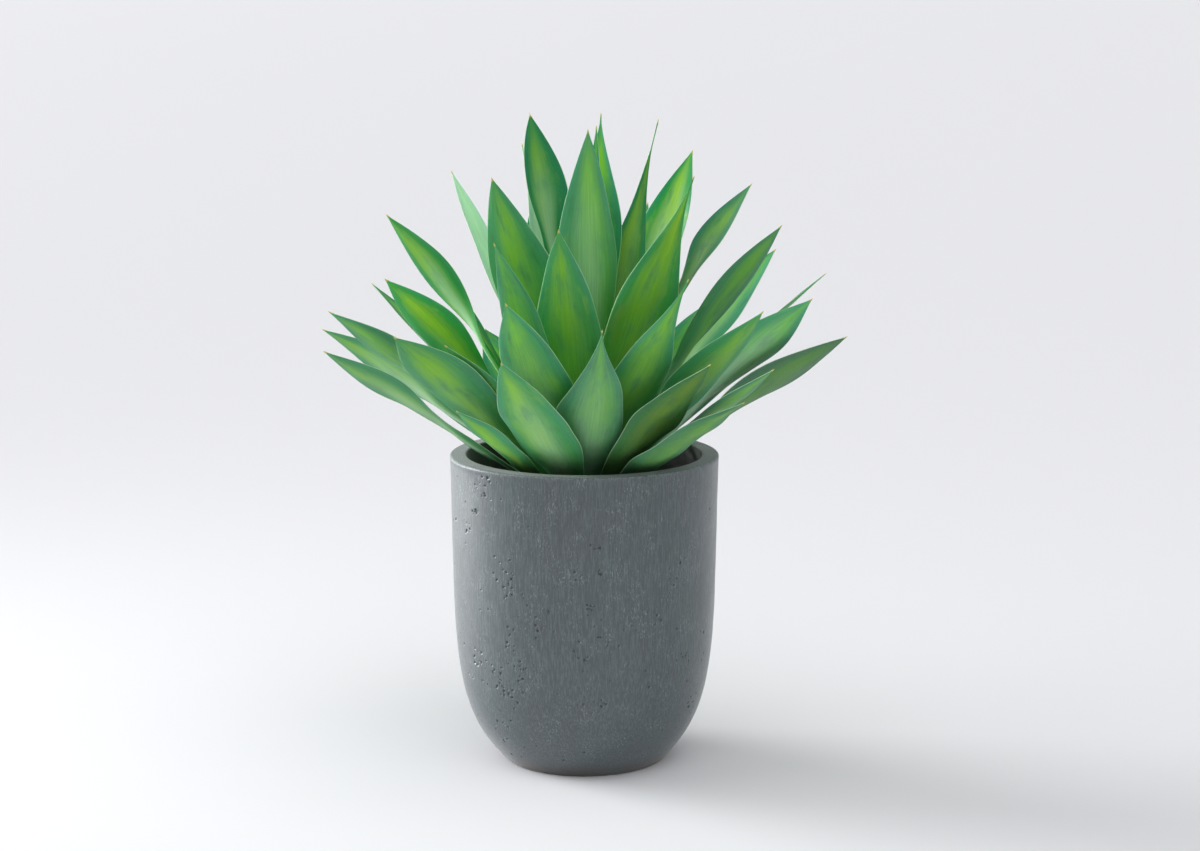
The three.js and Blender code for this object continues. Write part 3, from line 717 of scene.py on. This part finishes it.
class Blade:
    """One leaf. Share s runs from its foot to its tip, and t from -1 to 1 across it."""

    def __init__(self, row, index):
        for field, value in zip(LEAF_FIELDS, row):
            setattr(self, field, value)
        for field in ("length", "width", "low_bow", "high_bow"):
            setattr(self, field, getattr(self, field) * MM)
        self.index = index
        self.phase = (index * WAVE_STEP) % 1
        rise = math.radians(self.rise)
        ahead = np.array([math.cos(rise), math.sin(rise)])
        foot = np.array([CROWN_INNER, CROWN_HEIGHT]) + ahead * (CROWN_SPREAD, CROWN_RISE)
        chord = self.length * ahead
        up = np.array([-math.sin(rise), math.cos(rise)])
        self.line = (
            foot,
            foot + chord / 3 + up * self.low_bow,
            foot + chord * 2 / 3 + up * self.high_bow,
            foot + chord,
        )

    def half_width(self, s):
        """Half the even outline's width."""
        swell = (1 - np.cos(math.pi * np.clip(s / self.widest, 0, 1) ** self.neck)) / 2
        low = NECK_SHARE + (1 - NECK_SHARE) * swell
        left = np.clip((1 - s) / (1 - self.widest), 0, 1)
        high = np.sin(math.pi / 2 * left**self.point)
        return np.maximum(TIP_WIDTH / 2, self.width / 2 * np.where(s < self.widest, low, high))

    def roll(self, s):
        """Turn of the blade about its own line, in radians."""
        high = smoothstep((s - HIGH_ROLL_FROM) / HIGH_ROLL_OVER)
        roll = self.low_roll * (1 - high) + self.high_roll * high
        return np.radians(smoothstep(s / LOW_ROLL_BY) * roll)

    def thickness(self, s, t):
        low = FOOT_THICKNESS + (MIDDLE_THICKNESS - FOOT_THICKNESS) * np.clip(s / MIDDLE_AT, 0, 1)
        share = np.clip((s - MIDDLE_AT) / (1 - MIDDLE_AT), 0, 1)
        high = MIDDLE_THICKNESS + (TIP_THICKNESS - MIDDLE_THICKNESS) * share
        middle = np.where(s < MIDDLE_AT, low, high)
        return EDGE_THICKNESS + (middle - EDGE_THICKNESS) * (1 - t * t)

    def point_at(self, s, t):
        """Middle surface at arrays of s and t."""
        middle = bezier(self.line, s)
        slope = bezier_slope(self.line, s)
        slope = slope / np.linalg.norm(slope, axis=-1, keepdims=True)
        tx, tz = slope[..., 0], slope[..., 1]
        radius = middle[..., 0]
        half = self.half_width(s)
        wrap = np.minimum(half / radius, WRAP_LIMIT)
        lift = CHANNEL * half * t * t
        x = radius * (np.cos(wrap * t) - 1) - tz * lift
        y = half / wrap * np.sin(wrap * t)
        z = tx * lift
        roll = self.roll(s)
        cos, sin = np.cos(roll), np.sin(roll)
        along = (tx * x + tz * z) * (1 - cos)
        turned_x = x * cos - tz * y * sin + tx * along
        turned_y = y * cos + (tz * x - tx * z) * sin
        turned_z = z * cos + tx * y * sin + tz * along
        lead = np.where(t > 0, 0, WAVE_LEAD)
        wave = np.sin(FULL_TURN * (WAVES_PER_BLADE * s + self.phase + lead))
        turned_z = turned_z + EDGE_WAVE * wave * t * t * np.sin(math.pi * s)
        turned_x = turned_x + middle[..., 0]
        turned_z = turned_z + middle[..., 1]
        turn = np.radians(self.turn + self.foot_turn * (1 - s) ** 2)
        return np.stack(
            [
                turned_x * np.cos(turn) - turned_y * np.sin(turn),
                turned_x * np.sin(turn) + turned_y * np.cos(turn),
                turned_z,
            ],
            -1,
        )

    def normal_at(self, s, t):
        step = 1e-3
        s0, s1 = np.clip(s - step, 0, 1), np.clip(s + step, 0, 1)
        t0, t1 = np.clip(t - step, -1, 1), np.clip(t + step, -1, 1)
        along = self.point_at(s1, t) - self.point_at(s0, t)
        across = self.point_at(s, t1) - self.point_at(s, t0)
        normal = np.cross(along, across)
        return normal / np.linalg.norm(normal, axis=-1, keepdims=True)

    def wave(self, s, count, start, lean):
        """Waves along the blade: how many, where they start, and how they lean across it."""
        return np.sin(FULL_TURN * (count * s + start * self.phase) + lean)


ROLLED_EDGE = 0.93  # outside this share of the half width the blade rounds off to its margin
RIPPLE = 1.3 * MM
FRILL = 2.0 * MM
UNEVEN = 0.055  # how far the margin strays from the even outline, as a share of the half width
SPINE_RINGS = ((0.9, 0.70), (1.8, 0.42), (2.7, 0.20), (3.4, 0.06))  # mm beyond the tip, and size
HEART_REACH = 60 * MM  # a leaf with its middle this near the axis is deep in the rosette
HEART_FADE = 130 * MM
LEAST_DEPTH = 0.35
SEED_STEP = 3.7


def blade_rings(blade, rows, columns):
    """Rings of points round the blade, from its foot to the end of its spine, and their places on it."""
    shares = np.linspace(0, 1, rows)
    half_ring = np.sin(np.linspace(-math.pi / 2, math.pi / 2, columns + 1))
    ring_t = np.concatenate([half_ring, half_ring[-2:0:-1]])
    face = np.concatenate([np.ones(columns + 1), -np.ones(columns - 1)])
    s, t = np.meshgrid(shares, ring_t, indexing="ij")
    side = np.broadcast_to(face, s.shape)
    rolled = np.clip(np.abs(t) - ROLLED_EDGE, 0, 1) / (1 - ROLLED_EDGE)
    offset = side * blade.thickness(s, t) / 2 * np.sqrt(np.clip(1 - rolled**2, 0, 1))
    free = np.sin(math.pi * s)
    ripple = blade.wave(s, 1.9, 2.7, 1.4 * t) + 0.6 * blade.wave(s, 4.3, 1, -2.2 * t)
    frill = blade.wave(s, 2.6, 3.1, 1.2 * np.sign(t))
    offset = offset + (RIPPLE * ripple * (1 - t**4) + FRILL * frill * t**4) * free
    right = FULL_TURN * (t > 0)
    stray = blade.wave(s, 1.6, 1.9, 0.4 * right) + 0.5 * blade.wave(s, 3.7, 1, 0.3 * right)
    wide = t * (1 + UNEVEN * stray * free**2)
    points = blade.point_at(s, wide) + blade.normal_at(s, np.clip(wide, -1, 1)) * offset[..., None]

    end = points[-1]
    centre = end.mean(0)
    ahead = centre - points[-4].mean(0)
    ahead = ahead / np.linalg.norm(ahead)
    spine = [centre + ahead * reach * MM + (end - centre) * size for reach, size in SPINE_RINGS]
    beyond = [1 + reach * MM / blade.length for reach, _ in SPINE_RINGS]
    extra = len(SPINE_RINGS)
    along = np.concatenate([shares, beyond])[:, None] * np.ones(len(ring_t))
    across = np.concatenate([t, np.repeat(t[-1:], extra, 0) * 0.5])
    sides = np.concatenate([side, side[:extra]])
    upper = np.where(np.abs(across) > 0.999, 0.5, (sides + 1) / 2)
    return np.concatenate([points, np.stack(spine)]), along, across, upper


def blade_mesh(blade, look, material, tone, warmth, bloom):
    """A closed skin round the blade: its upper face, its underside and a rounded margin."""
    points, along, across, upper = blade_rings(blade, look.rows, look.columns)
    rows, ring = along.shape
    flat = np.arange(rows * ring).reshape(rows, ring)
    ahead = np.roll(flat, -1, 1)
    quads = np.stack([flat[:-1], flat[1:], ahead[1:], ahead[:-1]], -1).reshape(-1, 4)
    faces = [tuple(q) for q in quads]
    faces += [tuple(flat[0]), tuple(flat[-1][::-1])]

    every = np.ones(rows * ring)
    # How deep in the rosette the leaf sits, which sets how much painted shade it gets.
    inner = 1 - smoothstep((bezier(blade.line, 0.5)[0] - HEART_REACH) / HEART_FADE)
    values = {
        "across": across.ravel(),
        "along": along.ravel(),
        "upper": upper.ravel(),
        "tone": every * tone,
        "warmth": every * warmth,
        "bloom": every * bloom,
        "depth": every * (LEAST_DEPTH + (1 - LEAST_DEPTH) * inner),
        "leaf_seed": every * (blade.index * SEED_STEP),
    }
    name = f"agave_leaf_{blade.index + 1:02d}"
    leaf = mesh_object(name, points.reshape(-1, 3), faces, material, values)
    place = np.stack([values["across"] * blade.width / 2, values["along"] * blade.length], -1)
    corners = np.empty(len(leaf.data.loops), np.int32)
    leaf.data.loops.foreach_get("vertex_index", corners)
    layer = leaf.data.uv_layers.new(name="blade")
    layer.data.foreach_set("uv", place[corners].astype(np.float32).ravel())
    return leaf


def revolved(profile, sides):
    """Points and quads of a body of revolution about +Z, with no caps."""
    turn = np.linspace(0, FULL_TURN, sides, endpoint=False)
    radius, height = np.asarray(profile, float).T
    points = np.stack(
        [
            radius[:, None] * np.cos(turn),
            radius[:, None] * np.sin(turn),
            np.repeat(height[:, None], sides, 1),
        ],
        -1,
    )
    flat = np.arange(len(radius) * sides).reshape(len(radius), sides)
    ahead = np.roll(flat, -1, 1)
    quads = np.stack([flat[:-1], ahead[:-1], ahead[1:], flat[1:]], -1).reshape(-1, 4)
    return points.reshape(-1, 3), [tuple(q) for q in quads]


def arc(centre, radius, start, end, steps):
    """Profile points on an arc, angles in degrees."""
    turns = np.radians(np.linspace(start, end, steps))
    return [(centre[0] + radius * math.cos(a), centre[1] + radius * math.sin(a)) for a in turns]


def belly(inset, bottom, shares):
    """Profile points up the round belly, for the outside or for a skin that lies inset from it."""
    drop = SHOULDER_HEIGHT - bottom
    return bezier(
        (
            (FOOT_RADIUS - inset * FOOT_INSET_SHARE, bottom),
            (FOOT_RADIUS + BELLY_LOW_OUT - inset * LOW_INSET_SHARE, bottom + drop * BELLY_LOW_SHARE),
            (SHOULDER_RADIUS - BELLY_HIGH_IN - inset, bottom + drop * BELLY_HIGH_SHARE),
            (SHOULDER_RADIUS - inset, SHOULDER_HEIGHT),
        ),
        shares,
    )


# ---- planter ----

PLANTER_SIDES = 360
FOOT_ROUND = 1.5 * MM
FOOT_STEPS = 4
BELLY_STEPS = 90
SIDE_STEPS = 74
OUTSIDE_POINTS = FOOT_STEPS + BELLY_STEPS + SIDE_STEPS - 1
RIM_ROUND = 2.8 * MM
RIM_STEPS = 7
INSIDE_FROM = 0.6  # the share of the wall's thickness past which its skin is the inside
WALL_SWELL = ((9, 0.35), (42, 0.12))  # fineness, and size in millimetres
EVEN_LOW = 4 * MM
EVEN_HIGH = 6 * MM
THIN_BY = 0.3  # millimetres, so that the swell stays near the even wall
PIT_REACH = 3.0 * MM  # skin past a pit's radius that is split finely
PIT_CUTS = 4
LARGE_PIT = 2.2 * MM
PITS_FROM = 12 * MM
PITS_BELOW_RIM = 9 * MM
RAGGED = ((620, 0.7), (1500, 0.35))  # fineness, and size as a share of the pit
RAGGED_LEAST = 0.35
LIP_REACH = 1.6  # in radii of the pit
LIP_SEARCH = 1.9
# How far down the painted-lit side of each pit's edge turns.
LIT_LIP_FALL = 0.3
SCATTERED_PITS = 260


def planter_profile(look):
    """The wall's outside from the foot's edge up, over the rim and down the inside."""
    top = look.height - RIM_ROUND
    inner = look.rim_radius - WALL
    foot = arc((FOOT_RADIUS - FOOT_ROUND, FOOT_ROUND), FOOT_ROUND, 270, 320, FOOT_STEPS)
    low = belly(0, 0, np.linspace(0.012, 1, BELLY_STEPS))
    side = np.linspace(low[-1], (look.rim_radius, top), SIDE_STEPS)[1:]
    rim_out = arc((look.rim_radius - RIM_ROUND, top), RIM_ROUND, 8, 90, RIM_STEPS)
    rim_in = arc((inner + RIM_ROUND, top), RIM_ROUND, 90, 180, RIM_STEPS)
    flat = np.linspace(rim_out[-1], rim_in[0], 9)[1:-1]
    inside = np.linspace(rim_in[-1], (SHOULDER_RADIUS - WALL, SHOULDER_HEIGHT), 24)[1:-1]
    bottom = belly(WALL, FLOOR_THICKNESS, np.linspace(1, 0, 20))
    return np.concatenate([foot, low, side, rim_out, flat, rim_in, inside, bottom])


def outside_radius(profile, height):
    """Radius of the wall's outside at a height, or at each of many."""
    outside = profile[:OUTSIDE_POINTS]
    return np.interp(height, outside[:, 1], outside[:, 0])


def close_floor(bm):
    """Fills the foot and the inner floor as plates with the drain holes between them."""
    bm.verts.ensure_lookup_table()
    outer = [bm.verts[i] for i in range(PLANTER_SIDES)]
    inner = [bm.verts[i] for i in range(len(bm.verts) - PLANTER_SIDES, len(bm.verts))]
    plates = []
    for ring, height in ((outer, 0.0), (inner, FLOOR_THICKNESS)):
        edges = [bm.edges.get(pair) for pair in zip(ring, ring[1:] + ring[:1])]
        holes = []
        for hole in range(DRAIN_HOLES):
            turn = FULL_TURN * hole / DRAIN_HOLES
            place = (DRAIN_RING_RADIUS * math.cos(turn), DRAIN_RING_RADIUS * math.sin(turn), height)
            middle = Matrix.Translation(place)
            made = bmesh.ops.create_circle(bm, segments=DRAIN_SIDES, radius=DRAIN_RADIUS, matrix=middle)
            rim = made["verts"]
            holes.append(rim)
            edges += [bm.edges.get(pair) for pair in zip(rim, rim[1:] + rim[:1])]
        bmesh.ops.triangle_fill(bm, use_beauty=True, edges=edges)
        plates.append(holes)
    for low, high in zip(*plates):
        for i in range(DRAIN_SIDES):
            onward = (i + 1) % DRAIN_SIDES
            bm.faces.new((low[i], low[onward], high[onward], high[i]))


def pit_places(look, profile):
    """Seeded pits: (point on the skin, radius) in the patches, and a thin scatter everywhere."""
    rng = random.Random(look.seed)

    def on_skin(turn, height):
        radius = outside_radius(profile, height)
        return Vector((radius * math.cos(turn), radius * math.sin(turn), height))

    pits = []
    for turn, height, spread, count in PIT_PATCHES:
        for _ in range(count):
            z = min(max((height + rng.gauss(0, spread)) * MM, PITS_FROM), look.height - PITS_BELOW_RIM)
            a = math.radians(turn) + rng.gauss(0, spread * 1.15) * MM / look.rim_radius
            pits.append((on_skin(a, z), rng.uniform(0.55, 1.0) ** 2 * LARGE_PIT))
    for _ in range(SCATTERED_PITS):
        place = on_skin(rng.uniform(0, FULL_TURN), rng.uniform(15 * MM, look.height - 10 * MM))
        pits.append((place, rng.uniform(0.5, 0.85) ** 2 * LARGE_PIT))
    return pits


def sink_pits(bm, look, profile):
    """Splits the skin round each pit and presses the pit in, and marks a pale edge on one side of it as
    painted light.
    """
    pits = pit_places(look, profile)
    centres = kdtree.KDTree(len(bm.faces))
    bm.faces.ensure_lookup_table()
    for index, face in enumerate(bm.faces):
        centres.insert(face.calc_center_median(), index)
    centres.balance()
    touched = set()
    for place, radius in pits:
        touched.update(index for _, index, _ in centres.find_range(place, radius + PIT_REACH))
    edges = {edge for index in touched for edge in bm.faces[index].edges}
    bmesh.ops.subdivide_edges(bm, edges=list(edges), cuts=PIT_CUTS, use_grid_fill=True)
    bm.normal_update()

    bm.verts.ensure_lookup_table()
    skin = kdtree.KDTree(len(bm.verts))
    for index, vert in enumerate(bm.verts):
        skin.insert(vert.co, index)
    skin.balance()
    normals = [v.normal.copy() for v in bm.verts]
    sunk = np.zeros(len(bm.verts))
    lit_lip = np.zeros(len(bm.verts))
    for place, radius in pits:
        # Painted highlight: the pale side of each pit's edge faces the way of increasing turn and
        # downward, the right and lower side seen from the front, where light from the left catches it.
        onward = Vector((-place.y, place.x, -LIT_LIP_FALL * place.xy.length)).normalized()
        for co, index, distance in skin.find_range(place, radius * LIP_SEARCH):
            share = distance / (radius * max(1 + lumps(co, RAGGED), RAGGED_LEAST))
            if share < 1:
                sunk[index] = max(sunk[index], (1 - share**2) ** 0.5 * radius / LARGE_PIT)
            elif share < LIP_REACH:
                side = max((co - place).normalized().dot(onward), 0)
                lit_lip[index] = max(lit_lip[index], side * (LIP_REACH - share) / (LIP_REACH - 1))
    for index, vert in enumerate(bm.verts):
        if sunk[index] > 0:
            vert.co -= normals[index] * (sunk[index] * look.pit_depth)
    return sunk, lit_lip * (sunk == 0)


def hand_made(bm):
    """The cast wall isn't quite even: a low swell of a few tenths of a millimetre."""
    for vert in bm.verts:
        if EVEN_LOW < vert.co.z < POT_HIGH.z - EVEN_HIGH:
            swell = lumps(vert.co, WALL_SWELL) - THIN_BY
            vert.co += Vector((vert.co.x, vert.co.y, 0)).normalized() * swell * MM


def rim_wear_and_light(heights, reach, look):
    """How much the rim is paled at points of these heights and radii: wear most at its outer corner, and
    painted light over its flat top.
    """
    up = (heights - look.height + 1.0 * MM) / (1.5 * MM)
    out = (reach - look.rim_radius + 1.2 * MM) / (1.8 * MM)
    corner = np.exp(-(up**2)) * np.exp(-(out**2))
    # The flat top is paled as painted light.
    return np.maximum(corner, 0.7 * (heights > look.height - 0.3 * MM))


class AGAVE_OT_planter(bpy.types.Operator):
    """Builds the round-bottomed planter with its pits, thick rim and drain holes"""

    bl_idname = "agave.planter"
    bl_label = "Planter"

    def execute(self, context):
        look = context.scene.agave_planter
        profile = planter_profile(look)
        points, quads = revolved(profile, PLANTER_SIDES)
        bm = bmesh.new()
        verts = [bm.verts.new(p) for p in points]
        for quad in quads:
            bm.faces.new([verts[i] for i in quad])
        close_floor(bm)
        bmesh.ops.recalc_face_normals(bm, faces=bm.faces)
        hand_made(bm)
        sunk, lit_lip = sink_pits(bm, look, profile)
        heights = np.array([v.co.z for v in bm.verts])
        reach = np.array([math.hypot(v.co.x, v.co.y) for v in bm.verts])
        inside = outside_radius(profile, heights) - reach > WALL * INSIDE_FROM
        values = {
            "pit": sunk,
            "worn": np.maximum(rim_wear_and_light(heights, reach, look), lit_lip),
            "inside": inside & (heights < look.height - 1.0 * MM),
        }
        mesh = bpy.data.meshes.new("planter")
        bm.to_mesh(mesh)
        bm.free()
        dress(made_from(mesh, fibre_clay(look), values), "pot")
        return {"FINISHED"}


# ---- soil ----

SOIL_SIDES = 160
SOIL_GAP = 0.4 * MM
SOIL_SIDE_HEIGHT = 287 * MM
SOIL_TOP_HEIGHT = 289 * MM
SOIL_HOLE_BOTTOM = 270 * MM
STEM_GAP = 0.5 * MM
MOUND_HEIGHT = 9 * MM
MOUND_REACH = 150 * MM
SOIL_LUMPS = ((0, 55, 2.2), (3, 170, 1.3))  # plane of the noise, fineness, and size in millimetres
BARK_SHARE = 0.28
BARK_SHAPE = (1.9, 1.0, 0.35)
CRUMB_SHAPE = (1.0, 0.8, 0.7)
CRUMBS_FROM = 54 * MM
CRUMBS_EDGE = 5 * MM


def soil_height(x, y):
    """Height of the soil's rough surface, a shallow mound round the stem."""
    mound = MOUND_HEIGHT * max(0.0, 1 - math.hypot(x, y) / MOUND_REACH) ** 0.8
    rough = sum(noise.noise(Vector((x, y, z)) * fineness) * size for z, fineness, size in SOIL_LUMPS)
    return SOIL_TOP_HEIGHT + mound + rough * MM


def add_crumb(points, faces, dry, middle, size, rng):
    """One crumb: a small lumpy stone, or a flat chip of bark."""
    bark = rng.random() < BARK_SHARE
    shape = bmesh.new()
    bmesh.ops.create_icosphere(shape, subdivisions=1, radius=1.0)
    tilt = Matrix.Rotation(rng.uniform(-0.6, 0.6), 3, "X")
    spin = Matrix.Rotation(rng.uniform(0, FULL_TURN), 3, "Z") @ tilt
    start = len(points)
    for vert in shape.verts:
        lump = 1 + 0.35 * noise.noise(vert.co * 1.7 + middle * 300)
        place = Vector([c * s for c, s in zip(vert.co, BARK_SHAPE if bark else CRUMB_SHAPE)])
        points.append(middle + spin @ (place * (size * lump)))
        dry.append(float(bark))
    faces.extend(tuple(start + v.index for v in face.verts) for face in shape.faces)
    shape.free()


class AGAVE_OT_soil(bpy.types.Operator):
    """Fills the planter with soil that has loose crumbs and bark on top"""

    bl_idname = "agave.soil"
    bl_label = "Soil"

    def execute(self, context):
        look = context.scene.agave_soil
        rng = random.Random(look.seed)
        wall = belly(WALL + SOIL_GAP, SOIL_LOW.z, np.linspace(0, 1, 20))
        edge = SOIL_HIGH.x
        hole = STEM_HIGH.x + STEM_GAP
        rings = [(0.1 * MM, SOIL_LOW.z), *wall, (edge, SOIL_SIDE_HEIGHT)]
        tops = np.linspace(edge - 0.5 * MM, hole, 34)
        profile = rings + [(radius, 0.0) for radius in tops] + [(hole, SOIL_HOLE_BOTTOM)]
        points, faces = revolved(profile, SOIL_SIDES)
        first_top = len(rings) * SOIL_SIDES
        last_top = first_top + len(tops) * SOIL_SIDES
        for index in range(first_top, last_top):
            points[index][2] = soil_height(points[index][0], points[index][1])
        faces.append(tuple(range(SOIL_SIDES))[::-1])
        faces.append(tuple(range(last_top, last_top + SOIL_SIDES)))
        points = [Vector(p) for p in points]
        dry = [0.0] * len(points)
        for _ in range(look.crumbs):
            reach = math.sqrt(rng.uniform(CRUMBS_FROM**2, (edge - CRUMBS_EDGE) ** 2))
            turn = rng.uniform(0, FULL_TURN)
            x, y = reach * math.cos(turn), reach * math.sin(turn)
            size = look.crumb_size * rng.uniform(0.25, 0.85)
            add_crumb(points, faces, dry, Vector((x, y, soil_height(x, y) + 0.2 * size)), size, rng)
        soil = mesh_object("potting_soil", points, faces, potting_soil(look), {"dry": dry})
        dress(soil, "soil")
        return {"FINISHED"}


# ---- stem ----

STEM_COLUMNS = 96
STEM_RINGS = 60
BUD = ((16, 393.5), (14, 396), (12.8, 410), (11, 430), (8.4, 450), (5, 470), (2.4, 480), (0.4, 486))
CROWN_SKIN = 4 * MM
SCARS_AROUND = 9
SCAR_LEAN = 260
SCAR_RISE = 420
SCAR_DEPTH = 0.035  # as a share of the radius
SCARRED_FROM = 15 * MM
GREEN_FROM = 330 * MM
GREEN_OVER = 60 * MM


class AGAVE_OT_stem(bpy.types.Operator):
    """Builds the short stem with its old leaf scars and the young bud on top"""

    bl_idname = "agave.stem"
    bl_label = "Stem"

    def execute(self, context):
        look = context.scene.agave_foliage
        rise = np.linspace(0, math.pi / 2, STEM_RINGS)
        radius = CROWN_INNER + (CROWN_SPREAD + CROWN_SKIN) * np.cos(rise)
        height = CROWN_HEIGHT + (CROWN_RISE + CROWN_SKIN) * np.sin(rise)
        stem_radius = CROWN_INNER + CROWN_SPREAD + CROWN_SKIN
        foot = [(0.1 * MM, STEM_LOW.z), (stem_radius - 1 * MM, STEM_LOW.z)]
        side = [(stem_radius, z) for z in np.linspace(STEM_LOW.z + 1 * MM, CROWN_HEIGHT, 23)]
        dome = list(zip(radius, height))[1:]
        bud = [(reach * MM, height * MM) for reach, height in BUD]
        points, faces = revolved(foot + side + dome + bud, STEM_COLUMNS)
        faces.append(tuple(range(STEM_COLUMNS))[::-1])
        faces.append(tuple(range(len(points) - STEM_COLUMNS, len(points))))
        young = []
        for point in points:
            turn = math.atan2(point[1], point[0])
            reach = math.hypot(point[0], point[1])
            scars = abs(math.sin(SCARS_AROUND * turn + point[2] * SCAR_LEAN))
            scars *= abs(math.sin(point[2] * SCAR_RISE))
            if reach > SCARRED_FROM:
                point[:2] *= 1 - SCAR_DEPTH * scars
            young.append(float(smoothstep((point[2] - GREEN_FROM) / GREEN_OVER)))
        stem = mesh_object("agave_stem", points, faces, stem_bark(look), {"young": young})
        dress(stem, "stem")
        return {"FINISHED"}


# ---- leaves ----


class AGAVE_OT_leaves(bpy.types.Operator):
    """Grows every leaf of the rosette on the line of its CAD blade"""

    bl_idname = "agave.leaves"
    bl_label = "Leaves"

    def execute(self, context):
        look = context.scene.agave_foliage
        if len(LEAF_ROWS) != len(LEAVES):
            raise RuntimeError(f"{len(LEAF_ROWS)} leaf rows for {len(LEAVES)} leaf nodes")
        material = leaf_wax(look)
        rng = random.Random(look.seed)
        for index, (row, node) in enumerate(zip(LEAF_ROWS, LEAVES)):
            chance = (
                rng.uniform(-CHANCE_TONE, CHANCE_TONE),
                rng.uniform(-CHANCE_WARMTH, CHANCE_WARMTH),
            )
            # A chance tone, or a listed one, which on some leaves is painted shade and light.
            tone, warmth = STANDS_OUT.get(index + 1, chance)
            bloom = BLOOM_AND_SHEEN.get(index + 1, BLOOM_AND_SHEEN_ELSEWHERE)
            leaf = blade_mesh(Blade(row, index), look, material, tone, warmth, bloom)
            dress(leaf, node)
        return {"FINISHED"}


# ---- stage ----

CAMERA_PLACE = (20.34 * MM, -3.306, 1.012)
CAMERA_TILT = 9.8  # degrees below level
SENSOR_WIDTH = 36
VIEW_END = 4000.0
FLOOR_SIZE = 3000.0
FLOOR_DROP = 0.1 * MM
SKY_COLOUR = (1.0, 1.0, 1.012)
PANEL_SIZE = 1.6
PANEL_PLACE = (-1.7, -0.1, 1.5)
PANEL_AIM = (-0.5, -0.35, 0.0)
WHITE = (1.0, 1.0, 1.0)
ROSY_WHITE = (1.0, 0.995, 1.0)
# Soft lights from far away: turn past the window's, height above the floor and softness in degrees,
# and colour. The setting of the same name holds the strength.
SUNS = {
    "window": (0, 12, 34, ROSY_WHITE),
    "edge": (-8, 3, 30, ROSY_WHITE),
    "ceiling": (136, 62, 70, WHITE),
    "fill": (169, 22, 60, WHITE),
}
SHEEN_ONLY = "edge"


def place_light(name, kind, strength):
    """A light and its object, linked to the scene."""
    light = bpy.data.lights.new(name, kind)
    light.energy = strength
    lamp = bpy.data.objects.new(name, light)
    bpy.context.scene.collection.objects.link(lamp)
    return lamp


class AGAVE_OT_stage(bpy.types.Operator):
    """Sets the pale floor, the soft light from the left and the camera"""

    bl_idname = "agave.stage"
    bl_label = "Stage"

    def execute(self, context):
        look = context.scene.agave_stage
        context.scene.view_settings.view_transform = "Standard"
        self.add_floor(look)
        self.add_lights(look)
        self.add_camera(look)
        return {"FINISHED"}

    def add_floor(self, look):
        half = FLOOR_SIZE / 2
        corners = [(-half, -half, 0), (half, -half, 0), (half, half, 0), (-half, half, 0)]
        paper = Shader("floor_paper").material_with({"Base Color": look.floor, "Roughness": 0.9})
        floor = mesh_object("floor", corners, [(0, 1, 2, 3)], paper, {})
        floor.location.z = -FLOOR_DROP

    def add_lights(self, look):
        world = bpy.data.worlds.new("studio")
        world.use_nodes = True
        sky = world.node_tree.nodes["Background"]
        sky.inputs["Color"].default_value = (*SKY_COLOUR, 1)
        sky.inputs["Strength"].default_value = look.sky
        bpy.context.scene.world = world
        for name, (past_window, height, softness, colour) in SUNS.items():
            lamp = place_light(name, "SUN", getattr(look, name))
            lamp.data.angle = math.radians(softness)
            lamp.data.color = colour
            turn = look.window_turn + past_window
            lamp.rotation_euler = (math.radians(90 - height), 0, math.radians(turn + 90))
            lamp.visible_diffuse = name != SHEEN_ONLY
        panel = place_light("panel", "AREA", look.panel)
        panel.data.size = PANEL_SIZE
        panel.location = PANEL_PLACE
        aim = Vector(PANEL_AIM) - panel.location
        panel.rotation_euler = aim.to_track_quat("-Z", "Y").to_euler()
        panel.visible_camera = False

    def add_camera(self, look):
        camera = bpy.data.objects.new("camera", bpy.data.cameras.new("camera"))
        camera.location = CAMERA_PLACE
        camera.rotation_euler = (math.radians(90 - CAMERA_TILT), 0, 0)
        camera.data.lens = look.lens
        camera.data.sensor_width = SENSOR_WIDTH
        camera.data.clip_end = VIEW_END
        bpy.context.scene.collection.objects.link(camera)
        bpy.context.scene.camera = camera


# ---- panel and registration ----


class AGAVE_PT_panel(bpy.types.Panel):
    """Lists the pieces of the plant and what a user would change"""

    bl_idname = "AGAVE_PT_panel"
    bl_label = "Potted agave"
    bl_space_type = "VIEW_3D"
    bl_region_type = "UI"
    bl_category = "Agave"

    def draw(self, context):
        for group, (_, operators) in GROUPS.items():
            box = self.layout.box()
            settings = getattr(context.scene, group)
            for operator in operators:
                box.operator(operator.bl_idname)
            for name in settings.__annotations__:
                box.prop(settings, name)


GROUPS = {
    "agave_stage": (StageSettings, (AGAVE_OT_stage,)),
    "agave_planter": (PlanterSettings, (AGAVE_OT_planter,)),
    "agave_soil": (SoilSettings, (AGAVE_OT_soil,)),
    "agave_foliage": (FoliageSettings, (AGAVE_OT_stem, AGAVE_OT_leaves)),
}


def register():
    for name, (settings, operators) in GROUPS.items():
        bpy.utils.register_class(settings)
        setattr(bpy.types.Scene, name, PointerProperty(type=settings))
        for operator in operators:
            bpy.utils.register_class(operator)
    bpy.utils.register_class(AGAVE_PT_panel)


def unregister():
    bpy.utils.unregister_class(AGAVE_PT_panel)
    for name, (settings, operators) in GROUPS.items():
        for operator in operators:
            bpy.utils.unregister_class(operator)
        delattr(bpy.types.Scene, name)
        bpy.utils.unregister_class(settings)


def main():
    register()
    bpy.ops.agave.stage()
    bpy.ops.agave.planter()
    bpy.ops.agave.soil()
    bpy.ops.agave.stem()
    bpy.ops.agave.leaves()


if __name__ == "__main__":
    main()
